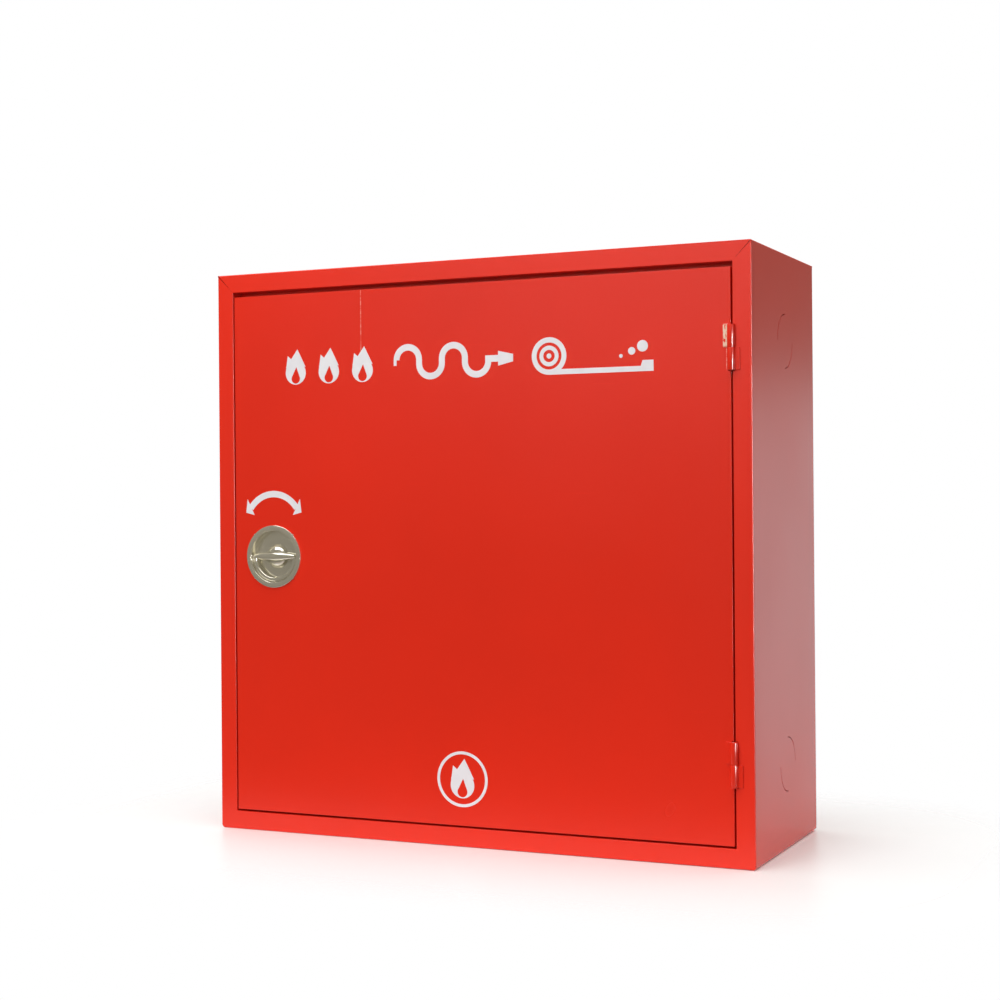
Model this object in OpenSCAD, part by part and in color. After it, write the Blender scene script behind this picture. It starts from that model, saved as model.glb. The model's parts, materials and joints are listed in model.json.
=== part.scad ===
// Fire hose reel cabinet: a folded steel cabinet with one hinged door, a flush ring latch,
// and a fixed hose reel with its supply pipe, stop valve, hose and nozzle.
// +X is right, +Y is back, +Z is up. The origin is the bottom centre of the whole part.

/* [Cabinet] */
// Width over the side walls
body_w = 800; // [780:5:820]
// Height over the top and bottom walls
body_h = 800; // [790:5:820]
// Depth from the front frame to the wall
body_d = 300; // [290:5:320]
// Sheet thickness of the cabinet walls and back
sheet = 1.5; // [1.2:0.1:2]
// Outside radius of the two bottom corners
bottom_corner_r = 5; // [3:1:10]
// Outside radius of the two top corners
top_corner_r = 1.5; // [1:0.5:3]
// Width of the flange behind the back edge of the walls
back_flange = 20; // [15:1:30]

/* [Front frame] */
// Width of the frame face at the left and right
frame_side = 25.5; // [24:0.5:30]
// Width of the frame face at the top
frame_top = 26; // [24:1:32]
// Width of the frame face at the bottom
frame_bottom = 25.5; // [22:0.5:30]
// Distance from the front face back to the stop lip
stop_depth = 22; // [21:0.5:23]
// Width of the stop lip behind the door edge
stop_lip = 12; // [8:1:16]

/* [Door] */
// Sheet thickness of the door
door_sheet = 1.2; // [1:0.1:1.5]
// Gap beside the door, left and right
gap_side = 2.5; // [2:0.25:4]
// Gap above the door
gap_top = 7; // [3:0.5:9]
// Gap below the door
gap_bottom = 3; // [2:0.5:5]
// Depth of the door's folded edges
door_fold = 18; // [14:1:19]
// Width of the inner return of the door's folded edges
door_return = 10; // [6:1:14]

/* [Hinges] */
// Outside radius of the hinge barrels
barrel_r = 5; // [4.5:0.5:5.5]
// Radius of the hinge pins
hinge_pin_r = 3; // [2.5:0.25:3]
// Length of each hinge
hinge_len = 58; // [50:1:80]
// Height of the middle of the lower hinge
hinge_low_z = 133; // [110:1:200]
// Height of the middle of the upper hinge
hinge_high_z = 664; // [500:1:690]

/* [Latch] */
// Distance of the latch to the left of the door's middle
latch_off = 308.5; // [300:0.5:310]
// Height of the latch
latch_z = 393.5; // [380:0.5:410]
// Radius of the latch flange
flange_r = 44.4; // [43:0.1:46]
// Radius of the middle of the folding ring
ring_r = 33; // [32:0.5:34]
// Reach of the cam from the spindle
cam_reach = 66; // [58:1:70]

/* [Knock-outs] */
// Radius of the knock-out discs in the side walls
knockout_r = 36; // [34:1:40]
// Distance of the knock-outs behind the front face
knockout_back = 154; // [150:1:156]
// Height of the lower knock-outs
knockout_low_z = 114; // [112:1:118]
// Height of the upper knock-outs
knockout_high_z = 682; // [670:1:690]

/* [Wall fixing] */
// Width between the wall fixing holes
fixing_w = 680; // [640:10:700]
// Height between the wall fixing holes
fixing_h = 680; // [640:10:700]
// Radius of the wall fixing holes
fixing_r = 4.5; // [4:0.5:5.5]

/* [Hose reel] */
// Radius of the reel discs
disc_r = 275; // [270:1:278]
// Height of the reel's axle
reel_z = 405; // [400:1:410]
// Radius of the drum that the hose is wound on
drum_r = 120; // [115:1:122]
// Clear width between the discs
reel_w = 142; // [142:1:144]
// Outside radius of the hose
hose_r = 13.5; // [13:0.5:13.5]
// Layers of hose on the drum
hose_layers = 5; // [3:1:5]
// Radius of the fixed axle
axle_r = 17; // [16:0.5:17]

/* [Hidden] */
$fn = 64;

red = [0.86, 0.16, 0.09];
steel = [0.72, 0.72, 0.7];
brass = [0.78, 0.62, 0.3];
black = [0.07, 0.07, 0.07];
white = [0.93, 0.93, 0.94];

run_gap = 0.05;    // radial clearance of a pin turning in its bore
free_gap = 0.3;    // clearance between pieces that move past each other

// The hinge axis stands in front of the frame, over the gap at the door's right edge.
hinge_off = 3;
front_proj = hinge_off + barrel_r;
front_y = (front_proj - body_d) / 2;
back_y = front_y + body_d;
open_l = -(body_w / 2 - frame_side);
open_r = body_w / 2 - frame_side;
open_b = frame_bottom;
open_t = body_h - frame_top;
door_l = open_l + gap_side;
door_r = open_r - gap_side;
door_b = open_b + gap_bottom;
door_t = open_t - gap_top;
hinge_x = (open_r + door_r) / 2;
hinge_y = front_y - hinge_off;
leaf_t = 2;
leaf_w = 11;
washer_t = 1;
notch_r = barrel_r + 0.6;

latch_x = -latch_off;
flange_proud = 3;
bowl_r = 37.3;
bowl_wall = 1.2;
bowl_floor_y = front_y + 9.5;
floor_t = 1.5;
neck_r = 13;
neck_back_y = front_y + 21.8;
spindle_r = 8;
boss_r = 17.5;
boss_h = 10.4;
pivot_y = front_y + 2;
bar_mid_r = 6.5;
bar_end_r = 2.6;
cam_y = front_y + 24.3;
cam_t = 3;
cam_w = 22;
square_w = 11;
nut_y = cam_y + cam_t + 1.6;
clamp_screw_pcr = 43.6;
clamp_y = front_y + door_sheet;
clamp_t = 1.5;

knockout_y = front_y + knockout_back;
knockout_gap = 1.2;
knockout_bridge = 50;

// Reel: places along its axle, from the front
axle_front_y = front_y + 46;
thrust_y = front_y + 56.4;
hub_y0 = front_y + 58;
reel_front_y = front_y + 70;
disc_t = 1.5;
wind_front_y = reel_front_y + disc_t;
reel_back_y = wind_front_y + reel_w;
reel_mid_y = wind_front_y + reel_w / 2;
hub_y1 = front_y + 222;
elbow_y = front_y + 250;
bracket_y = front_y + 272;
axle_back_y = front_y + 290;
panel_y = back_y - 2 * sheet;

hub_r = 26;
hub_bore_r = 20;
hub_flange_r = 48;
rim_r = 4;
tie_r = 100;
stub_r = 14;
collar_r = 30;
water_r = 8;
outlet_r = 11;
o_ring_ys = [reel_mid_y - 25, reel_mid_y + 25];

bracket_w = 120;
bracket_h = 260;
bracket_t = 3;
bracket_foot_w = 36;
bracket_bolt_x = 80;
bracket_bolt_z = 95;
bracket_hole_r = 4.2;

pipe_r = 17;
pipe_wall = 3;
pipe_bend_r = 30;
pipe_x = -200;
clamp_z = 290;
clamp_stud_r = 4;

valve_x = -335;
valve_half = 44;
valve_bore_r = 12.5;
valve_stem_r = 5;
valve_neck_h = 34;
packing_nut_h = 7;
lever_z = knockout_low_z + 42;
lever_t = 3;

turn_pitch = 27.5;
turns = 5;
pack_front_y = wind_front_y + (reel_w - turns * turn_pitch) / 2;
pack_r = drum_r + free_gap + hose_layers * 2 * hose_r;
nozzle_z = reel_z - 190;
nozzle_y = reel_front_y - 22;

// Printed marks
mark_t = 0.2;
band_z0 = 638;
band_h = 50;

// The free end of the hose leaves the winding at the top, rises over the front disc's rim on
// the right, comes forward and runs down to the nozzle. Each row is the angle round the reel,
// the distance from its axle and the distance behind the cabinet's front.
tail_turn = [
    [100, 242, 88], [90, 242, 88], [80, 244, 88], [70, 250, 88], [60, 260, 88], [50, 272, 88],
    [40, 283, 87], [30, 290, 83], [20, 293, 77], [10, 293, 69], [0, 290, 61], [-10, 284, 54],
    [-20, 274, 50], [-30, 260, 48], [-40, 246, 48], [-50, 230, 48]
];
tail_end = [[125, -185.5, 48], [103, -190, 48], [80.3, -190, 48]];
// The gap that the free end leaves in the winding: its depth, and where it starts and ends
tail_gap_depth = 2 * hose_r + 1.5;
tail_gap_start = 102;
tail_gap_end = 48;

// ---------- Shared shapes ----------

// Extrudes an outline drawn in X and Z from y0 back to y1
module along_y(y0, y1) {
    translate([0, y1, 0]) rotate([90, 0, 0]) linear_extrude(y1 - y0) children();
}

// A cylinder along Y from y0 to y1, at x and z
module rod_y(r, y0, y1, x = 0, z = 0, fn = 64) {
    translate([x, y1, z]) rotate([90, 0, 0]) cylinder(r = r, h = y1 - y0, $fn = fn);
}

// A cylinder along X from x0 to x1, at y and z
module rod_x(r, x0, x1, y = 0, z = 0, fn = 64) {
    translate([x0, y, z]) rotate([0, 90, 0]) cylinder(r = r, h = x1 - x0, $fn = fn);
}

// A tube along Y
module tube_y(r_out, r_in, y0, y1, x = 0, z = 0) {
    difference() {
        rod_y(r_out, y0, y1, x, z);
        rod_y(r_in, y0 - 1, y1 + 1, x, z);
    }
}

// Turns a profile (distance from axis, distance back) round a Y axis at x and z
module turned_y(x, z) {
    translate([x, 0, z]) rotate([-90, 0, 0]) rotate_extrude() children();
}

module rect(x0, z0, x1, z1) {
    translate([x0, z0]) square([x1 - x0, z1 - z0]);
}

// A hexagon by its width across flats
module hexagon(flats) {
    circle(r = flats / sqrt(3), $fn = 6);
}

// A segment of a flat ring, its angles counted from +X
module ring_segment(r_out, r_in, a0, a1) {
    reach = 2 * r_out;
    intersection() {
        difference() {
            circle(r = r_out, $fn = 96);
            circle(r = r_in, $fn = 96);
        }
        polygon([[0, 0], for (i = [0 : 4]) let (a = a0 + (a1 - a0) * i / 4) reach * [cos(a), sin(a)]]);
    }
}

// The cabinet's outline, drawn in by inset on every side
module body_outline(inset = 0) {
    rb = max(bottom_corner_r - inset, 0.5);
    rt = max(top_corner_r - inset, 0.5);
    x = body_w / 2 - inset;
    z0 = inset;
    z1 = body_h - inset;
    rect(-x, z0 + rb, x, z1 - rt);
    rect(-x + rb, z0, x - rb, z0 + rb);
    rect(-x + rt, z1 - rt, x - rt, z1);
    for (s = [-1, 1]) {
        translate([s * (x - rb), z0 + rb]) circle(r = rb);
        translate([s * (x - rt), z1 - rt]) circle(r = rt);
    }
}

// The door opening, made larger by grow on every side
module opening(grow = 0) {
    rect(open_l - grow, open_b - grow, open_r + grow, open_t + grow);
}

// The door's outline, drawn in by inset on every side
module door_outline(inset = 0) {
    rect(door_l + inset, door_b + inset, door_r - inset, door_t - inset);
}

// ---------- Cabinet ----------

// Two slits that leave a knock-out disc held by two bridges; lean turns the bridges
module knockout_slits(lean) {
    difference() {
        circle(r = knockout_r + knockout_gap / 2, $fn = 96);
        circle(r = knockout_r - knockout_gap / 2, $fn = 96);
        rotate(lean) square([3 * knockout_r, knockout_bridge], center = true);
    }
}

// A half-punched knock-out in a side wall, flush with it
module knockout_cut(side, z, lean) {
    wall_x = side * (body_w / 2 - sheet / 2);
    translate([wall_x, knockout_y, z]) rotate([90, 0, 90])
        linear_extrude(3 * sheet, center = true) knockout_slits(lean);
}

// Seats in the frame or door edge for the hinge barrels
module hinge_notches() {
    for (z = [hinge_low_z, hinge_high_z])
        translate([hinge_x, hinge_y, z - hinge_len / 2 - 1]) cylinder(r = notch_r, h = hinge_len + 2);
}

module body_shell() {
    color(red) difference() {
        union() {
            along_y(front_y, back_y) difference() {
                body_outline();
                body_outline(sheet);
            }
            along_y(front_y, front_y + sheet) difference() {
                body_outline();
                opening();
            }
            along_y(front_y, front_y + stop_depth + sheet) difference() {
                opening(sheet);
                opening();
            }
            along_y(front_y + stop_depth, front_y + stop_depth + sheet) difference() {
                opening(sheet);
                opening(-stop_lip);
            }
            along_y(back_y - sheet, back_y) difference() {
                body_outline();
                body_outline(back_flange);
            }
        }
        hinge_notches();
        knockout_cut(1, knockout_high_z, 45);
        knockout_cut(1, knockout_low_z, -45);
        knockout_cut(-1, knockout_high_z, -45);
        rod_x(knockout_r, -body_w, -body_w / 2 + 5, knockout_y, knockout_low_z);
    }
}

module back_panel() {
    color(red) along_y(back_y - 2 * sheet, back_y - sheet) difference() {
        body_outline(sheet);
        for (x = [-1, 1], z = [-1, 1])
            translate([x * fixing_w / 2, body_h / 2 + z * fixing_h / 2]) circle(r = fixing_r);
        for (x = [-1, 1], z = [-1, 1])
            translate([x * bracket_bolt_x, reel_z + z * bracket_bolt_z]) circle(r = bracket_hole_r);
        translate([pipe_x, clamp_z]) circle(r = clamp_stud_r + 0.1);
    }
}

// Rubber buffers on the stop lip, two on each side
module door_bumpers() {
    bumper_h = 3;
    color(black) for (x = [open_l + stop_lip / 2, open_r - stop_lip / 2], z = [75, body_h - 75])
        rod_y(4.5, front_y + stop_depth - bumper_h, front_y + stop_depth, x, z);
}

// A rubber edging round the punched-out pipe hole
module inlet_grommet() {
    lip = 2.5;
    x0 = -body_w / 2;
    color(black) translate([x0, knockout_y, knockout_low_z]) rotate([0, 90, 0]) rotate_extrude() {
        translate([knockout_r - 3, 0]) square([3, sheet]);
        translate([knockout_r - 3, sheet]) square([3 + lip, 1.6]);
    }
}

// ---------- Hinges ----------

module hinge_leaf(z0, z1, side, bore_r) {
    x0 = side > 0 ? hinge_x : hinge_x - leaf_w;
    difference() {
        union() {
            translate([hinge_x, hinge_y, z0]) cylinder(r = barrel_r, h = z1 - z0);
            translate([x0, front_y - leaf_t, z0]) cube([leaf_w, leaf_t, z1 - z0]);
        }
        translate([hinge_x, hinge_y, z0 - 1]) cylinder(r = bore_r, h = z1 - z0 + 2);
    }
}

// The lower knuckle is on the frame and holds the pin; the upper one is on the door
module frame_leaf(z) {
    color(red) hinge_leaf(z - hinge_len / 2, z - washer_t / 2, 1, hinge_pin_r);
}

module door_leaf(z) {
    color(red) hinge_leaf(z + washer_t / 2 + 0.1, z + hinge_len / 2, -1, hinge_pin_r + run_gap);
}

module hinge_pin(z) {
    z0 = z - hinge_len / 2 + 2;
    color(steel) translate([hinge_x, hinge_y, z0]) cylinder(r = hinge_pin_r, h = hinge_len - 6);
}

module hinge_frame_leaf_upper() { frame_leaf(hinge_high_z); }
module hinge_frame_leaf_lower() { frame_leaf(hinge_low_z); }
module hinge_door_leaf_upper() { door_leaf(hinge_high_z); }
module hinge_door_leaf_lower() { door_leaf(hinge_low_z); }
module hinge_pin_upper() { hinge_pin(hinge_high_z); }
module hinge_pin_lower() { hinge_pin(hinge_low_z); }

module hinge_washers() {
    color(red) for (z = [hinge_low_z, hinge_high_z])
        translate([hinge_x, hinge_y, z - washer_t / 2]) difference() {
            cylinder(r = barrel_r - 0.3, h = washer_t);
            translate([0, 0, -1]) cylinder(r = hinge_pin_r, h = washer_t + 2);
        }
}

// ---------- Door ----------

module door_panel() {
    back = front_y + door_fold;
    color(red) difference() {
        union() {
            along_y(front_y, front_y + door_sheet) door_outline();
            along_y(front_y, back) difference() {
                door_outline();
                door_outline(door_sheet);
            }
            along_y(back - door_sheet, back) difference() {
                door_outline();
                door_outline(door_return);
            }
        }
        hinge_notches();
        rod_y(bowl_r + bowl_wall + 0.3, front_y - 1, front_y + 5, latch_x, latch_z);
        clamp_screw_places() rod_y(1.7, front_y - 1, front_y + 5);
    }
}

// A folded hat channel welded down the middle of the door's inner face
module door_stiffener() {
    foot = 14;
    web = 36;
    deep = 11;
    z0 = door_b + 40;
    z1 = door_t - 40;
    y0 = front_y + door_sheet;
    color(red) translate([0, 0, z0]) linear_extrude(z1 - z0) {
        for (s = [0, 1]) mirror([s, 0]) {
            translate([web / 2 - 1, y0]) square([foot + 1, 1]);
            translate([web / 2 - 1, y0]) square([1, deep]);
        }
        translate([-web / 2, y0 + deep - 1]) square([web, 1]);
    }
}

// ---------- Latch ----------

module clamp_screw_places() {
    for (a = [45 : 90 : 315])
        translate([latch_x + clamp_screw_pcr * cos(a), 0, latch_z + clamp_screw_pcr * sin(a)]) children();
}

// A round dish with a domed flange, a flat floor and a neck behind for the spindle
module latch_dish() {
    out_r = bowl_r + bowl_wall;
    dome_r = 7;
    color(steel) difference() {
        turned_y(latch_x, latch_z) {
            intersection() {
                translate([bowl_r, front_y - flange_proud]) square([flange_r - bowl_r, flange_proud]);
                translate([(bowl_r + flange_r) / 2, front_y - flange_proud + dome_r]) circle(r = dome_r);
            }
            translate([bowl_r, front_y - 1]) square([bowl_wall, bowl_floor_y + floor_t - front_y + 1]);
            translate([spindle_r + run_gap, bowl_floor_y]) square([out_r - spindle_r - run_gap, floor_t]);
            translate([spindle_r + run_gap, bowl_floor_y])
                square([neck_r - spindle_r - run_gap, neck_back_y - bowl_floor_y]);
        }
        clamp_screw_places() rod_y(1.6, front_y - 1.8, front_y + 1);
    }
}

module latch_clamp_ring() {
    color(steel) difference() {
        tube_y(50, bowl_r + bowl_wall + 0.2, clamp_y, clamp_y + clamp_t, latch_x, latch_z);
        clamp_screw_places() rod_y(1.6, front_y, front_y + 5);
    }
}

module latch_clamp_screws() {
    head_y = clamp_y + clamp_t;
    color(steel) clamp_screw_places() {
        rod_y(1.5, front_y - 1.7, head_y + 0.5);
        difference() {
            rod_y(2.9, head_y, head_y + 1.8);
            rod_y(1.2, head_y + 0.8, head_y + 3, fn = 6);
        }
    }
}

// The bar of the ring pull as a lens turned about its own length, made larger by grow
module bar_lens(grow = 0) {
    half = ring_r;
    rise = bar_mid_r - bar_end_r;
    arc_r = (half * half + rise * rise) / (2 * rise);
    translate([latch_x, pivot_y, latch_z]) rotate([0, 90, 0]) rotate_extrude() intersection() {
        translate([0, -half]) square([bar_mid_r + grow, 2 * half]);
        translate([bar_mid_r - arc_r, 0]) circle(r = arc_r + grow, $fn = 256);
    }
}

// A domed boss that wraps the pull's bar, on a stepped shaft
module latch_spindle() {
    sphere_r = (boss_r * boss_r + boss_h * boss_h) / (2 * boss_h);
    base_y = bowl_floor_y - free_gap;
    shaft_end = cam_y + cam_t + 0.4;
    color(steel) difference() {
        union() {
            intersection() {
                translate([latch_x, base_y - boss_h + sphere_r, latch_z]) sphere(r = sphere_r, $fn = 96);
                rod_y(boss_r + 5, base_y - boss_h - 1, base_y, latch_x, latch_z);
            }
            rod_y(spindle_r, base_y - 1, cam_y, latch_x, latch_z);
            translate([latch_x - square_w / 2, cam_y - 0.5, latch_z - square_w / 2])
                cube([square_w, cam_t - 0.1 + 0.5, square_w]);
            rod_y(4, shaft_end - 2, front_y + 36, latch_x, latch_z);
        }
        bar_lens(free_gap);
    }
}

module latch_washer() {
    color(steel) tube_y(12, spindle_r, neck_back_y + 0.2, cam_y, latch_x, latch_z);
}

// The cam hangs down when the latch is free and turns to the left behind the stop lip
module latch_cam() {
    hole = square_w + 0.1;
    color(steel) along_y(cam_y, cam_y + cam_t) translate([latch_x, latch_z]) difference() {
        union() {
            circle(r = 15);
            translate([-cam_w / 2, -cam_reach + cam_w / 2]) square([cam_w, cam_reach - cam_w / 2]);
            translate([0, -cam_reach + cam_w / 2]) circle(r = cam_w / 2);
        }
        square(hole, center = true);
    }
}

module latch_nut() {
    color(steel) {
        tube_y(9, 4, cam_y + cam_t, nut_y, latch_x, latch_z);
        along_y(nut_y, nut_y + 6) translate([latch_x, latch_z]) difference() {
            hexagon(13);
            circle(r = 4);
        }
    }
}

// A flat-sided half ring with a lens-shaped bar across its ends
module latch_ring_pull() {
    band = 5.6;
    thick = 3.6;
    edge_r = thick / 2;
    color(steel) {
        bar_lens();
        translate([latch_x, pivot_y, latch_z]) rotate([90, 0, 0]) rotate([0, 0, 180])
            rotate_extrude(angle = 180) translate([ring_r, 0]) {
                square([band - thick, thick], center = true);
                for (s = [-1, 1]) translate([s * (band - thick) / 2, 0]) circle(r = edge_r);
            }
    }
}

// ---------- Printed marks on the door ----------

// A flame: a round body with a bent point, and a smaller drop left open in it
module flame(h) {
    r = 0.33 * h;
    difference() {
        union() {
            translate([0, r]) circle(r = r);
            polygon([[-0.985 * r, r + 0.16 * h], [0.06 * h, h], [0.985 * r, r + 0.16 * h], [0, 0.6 * h]]);
            polygon([[-0.985 * r, r + 0.05 * h], [-0.26 * h, 0.82 * h], [0, 0.6 * h]]);
        }
        translate([0, 0.5 * r]) circle(r = 0.42 * r);
        polygon([[-0.4 * r, 0.62 * r], [0.02 * h, 0.5 * h], [0.4 * r, 0.62 * r]]);
    }
}

// A hose laid in waves, made of half rings, with a nozzle at its right end
module hose_wave(w, h) {
    band = 0.18 * h;
    bends = 4;
    nozzle_w = 0.24 * w;
    pitch = (w - nozzle_w) / bends;
    r = (pitch + band) / 2;
    leg = h / 2 - r;
    for (i = [0 : bends - 1]) {
        up = i % 2 == 0 ? 1 : -1;
        x = pitch * (i + 0.5);
        translate([x, h / 2 + up * leg]) ring_segment(r, r - band, up > 0 ? 0 : 180, up > 0 ? 180 : 360);
        if (i > 0) translate([x - pitch / 2 - band / 2, h / 2 - leg]) square([band, 2 * leg]);
    }
    translate([0, h / 2 - band / 2]) mirror([1, 0]) square([band / 2, leg + band / 2]);
    translate([w - nozzle_w - band / 2, h / 2 - leg]) square([band, leg + band / 2]);
    translate([w - nozzle_w, h / 2 - band / 2]) square([nozzle_w / 3, band]);
    translate([w - 2 * nozzle_w / 3, h / 2])
        polygon([[0, -0.2 * h], [nozzle_w / 2, -0.1 * h], [nozzle_w / 2, 0.1 * h], [0, 0.2 * h]]);
}

// A reel seen from the front, with its hose running straight to a nozzle
module reel_sign(w, h) {
    r = h / 2;
    band = 0.14 * h;
    translate([r, r]) difference() {
        circle(r = r, $fn = 96);
        circle(r = r - band, $fn = 96);
    }
    translate([r, r]) difference() {
        circle(r = r - 1.6 * band);
        circle(r = r - 2.4 * band);
    }
    translate([r, r]) circle(r = band / 2);
    translate([r, 0]) square([w - r - 0.3 * h, band]);
    translate([w - 0.3 * h, band / 2])
        polygon([[-0.1 * h, -band / 2], [0.3 * h, -band / 2], [0.3 * h, 0.22 * h], [0, 0.22 * h]]);
    for (i = [1 : 3])
        translate([w - (1.2 - 0.3 * i) * h, (0.3 + 0.12 * i) * h]) circle(r = 0.05 * h * i);
}

module decal_band() {
    color(white) along_y(front_y - mark_t, front_y) {
        for (i = [0 : 2]) translate([-270 + 54 * i, band_z0]) flame(band_h);
        translate([-108, band_z0]) hose_wave(184, band_h);
        translate([96, band_z0]) reel_sign(172, band_h);
    }
}

// A bent arrow with a head at both ends, over the latch
module decal_arrow() {
    arc_out = 50.3;
    arc_in = 41.2;
    half_a = 56;
    centre_z = latch_z + 43.5;
    color(white) along_y(front_y - mark_t, front_y) translate([latch_x, centre_z]) {
        ring_segment(arc_out, arc_in, 90 - half_a, 90 + half_a);
        for (s = [0, 1]) mirror([s, 0]) polygon([[46, 19.3], [43.6, 38.7], [32, 15.8]]);
    }
}

// A plain round badge with a flame
module decal_badge() {
    badge_r = 38;
    color(white) along_y(front_y - mark_t, front_y) translate([-12, 92]) {
        difference() {
            circle(r = badge_r, $fn = 96);
            circle(r = badge_r - 4, $fn = 96);
        }
        translate([0, -26]) flame(54);
    }
}

// ---------- Reel support and water supply ----------

// A folded hat-shaped bracket; the axle is held in its web and its feet are bolted to the back
module reel_bracket() {
    z0 = reel_z - bracket_h / 2;
    color(red) difference() {
        translate([0, 0, z0]) linear_extrude(bracket_h) {
            translate([-bracket_w / 2, bracket_y]) square([bracket_w, bracket_t]);
            for (s = [0, 1]) mirror([s, 0]) {
                translate([bracket_w / 2 - bracket_t, bracket_y]) square([bracket_t, panel_y - bracket_y]);
                translate([bracket_w / 2 - bracket_t, panel_y - bracket_t])
                    square([bracket_foot_w + bracket_t, bracket_t]);
            }
        }
        rod_y(stub_r + 0.2, bracket_y - 1, bracket_y + bracket_t + 1, 0, reel_z);
        for (x = [-1, 1], z = [-1, 1])
            translate([x * bracket_bolt_x, 0, reel_z + z * bracket_bolt_z])
                rod_y(bracket_hole_r, panel_y - 5, panel_y + 1);
    }
}

module bracket_bolts() {
    foot_y = panel_y - bracket_t;
    color(steel) for (x = [-1, 1], z = [-1, 1])
        translate([x * bracket_bolt_x, 0, reel_z + z * bracket_bolt_z]) {
            rod_y(4, foot_y - 2, back_y - sheet);
            rod_y(8, foot_y - 1.6, foot_y);
            along_y(foot_y - 7, foot_y - 1.6) hexagon(13);
        }
}

// A fixed hollow axle: water comes in at the elbow and leaves by a cross hole inside the hub
module axle() {
    groove_r = axle_r - 0.4;
    bore_r = water_r + 1;
    color(brass) difference() {
        union() {
            rod_y(axle_r, axle_front_y, bracket_y, 0, reel_z);
            rod_y(stub_r, bracket_y - 1, axle_back_y, 0, reel_z);
            rod_y(collar_r, hub_y1 + free_gap, hub_y1 + 6, 0, reel_z);
        }
        rod_y(bore_r, reel_mid_y - 22, elbow_y + 12, 0, reel_z);
        rod_x(bore_r, -axle_r - 3, 0, elbow_y, reel_z);
        rod_x(water_r, -axle_r - 3, axle_r + 3, reel_mid_y, reel_z);
        for (y = o_ring_ys) turned_y(0, reel_z) translate([groove_r, y - 2]) square([2, 4]);
    }
}

module axle_o_rings() {
    color(black) for (y = o_ring_ys) turned_y(0, reel_z) translate([18.2, y]) circle(r = 1.6);
}

module axle_nuts() {
    color(steel) {
        along_y(axle_front_y, thrust_y) translate([0, reel_z]) difference() {
            hexagon(46);
            circle(r = axle_r);
        }
        along_y(bracket_y + bracket_t, bracket_y + bracket_t + 12) translate([0, reel_z]) difference() {
            hexagon(36);
            circle(r = stub_r);
        }
    }
}

module thrust_washer() {
    color(brass) tube_y(collar_r, axle_r, thrust_y, hub_y0 - free_gap, 0, reel_z);
}

// A cast elbow on the axle's back end, with a socket towards the feed pipe
module axle_elbow() {
    color(red) difference() {
        union() {
            rod_y(25, hub_y1 + 6, bracket_y, 0, reel_z);
            rod_x(22, -46, 0, elbow_y, reel_z);
        }
        rod_y(axle_r, hub_y1, bracket_y + 1, 0, reel_z);
        rod_x(pipe_r, -50, -28, elbow_y, reel_z);
        rod_x(11, -40, 0, elbow_y, reel_z);
    }
}

// A quarter bend of pipe in the XY plane, from +X round to +Y, about the origin
module quarter_bend() {
    rotate_extrude(angle = 90) translate([pipe_bend_r, 0]) difference() {
        circle(r = pipe_r);
        circle(r = pipe_r - pipe_wall);
    }
}

module pipe_z(z0, z1) {
    translate([pipe_x, elbow_y, z0]) difference() {
        cylinder(r = pipe_r, h = z1 - z0);
        translate([0, 0, -1]) cylinder(r = pipe_r - pipe_wall, h = z1 - z0 + 2);
    }
}

module pipe_along_x(x0, x1, y, z) {
    difference() {
        rod_x(pipe_r, x0, x1, y, z);
        rod_x(pipe_r - pipe_wall, x0 - 1, x1 + 1, y, z);
    }
}

// From the valve along X, back, up behind the reel, and across to the axle
module feed_pipe() {
    bend = pipe_bend_r;
    valve_end = valve_x + valve_half - 12;
    color(red) {
        pipe_along_x(valve_end, pipe_x - bend, knockout_y, knockout_low_z);
        translate([pipe_x - bend, knockout_y + bend, knockout_low_z]) rotate([0, 0, -90]) quarter_bend();
        tube_y(pipe_r, pipe_r - pipe_wall, knockout_y + bend, elbow_y - bend, pipe_x, knockout_low_z);
        translate([pipe_x, elbow_y - bend, knockout_low_z + bend]) rotate([0, 90, 0]) quarter_bend();
        pipe_z(knockout_low_z + bend, reel_z - bend);
        translate([pipe_x + bend, elbow_y, reel_z - bend])
            rotate([90, 0, 0]) rotate([0, 0, 90]) quarter_bend();
        pipe_along_x(pipe_x + bend, -28, elbow_y, reel_z);
    }
}

module pipe_clamp() {
    color(steel) {
        translate([pipe_x, elbow_y, clamp_z - 10]) difference() {
            cylinder(r = pipe_r + 2.5, h = 20);
            translate([0, 0, -1]) cylinder(r = pipe_r, h = 22);
        }
        rod_y(clamp_stud_r, elbow_y + pipe_r + 1, back_y - sheet, pipe_x, clamp_z);
        rod_y(14, panel_y - 3, panel_y, pipe_x, clamp_z);
    }
}

// A ball valve along X with its stem up
module valve_body() {
    cavity_r = 19.3;
    hex_len = 15;
    thread_r = 15.15;
    thread_len = 18;
    socket_len = 12;
    color(brass) translate([valve_x, knockout_y, knockout_low_z]) difference() {
        union() {
            sphere(r = 24);
            rod_x(21, -valve_half + hex_len - 1, valve_half - hex_len + 1);
            for (x = [-valve_half, valve_half - hex_len])
                translate([x, 0, 0]) rotate([0, 90, 0]) linear_extrude(hex_len) hexagon(42);
            cylinder(r = 9, h = valve_neck_h);
        }
        sphere(r = cavity_r);
        rod_x(valve_bore_r, -valve_half - 1, valve_half + 1);
        rod_x(thread_r, -valve_half - 1, -valve_half + thread_len);
        rod_x(pipe_r, valve_half - socket_len, valve_half + 1);
        cylinder(r = valve_stem_r + run_gap, h = valve_neck_h + 1);
    }
}

module valve_packing_nut() {
    color(brass) translate([valve_x, knockout_y, knockout_low_z + valve_neck_h]) difference() {
        linear_extrude(packing_nut_h) hexagon(20);
        translate([0, 0, -1]) cylinder(r = valve_stem_r + run_gap, h = packing_nut_h + 2);
    }
}

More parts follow.
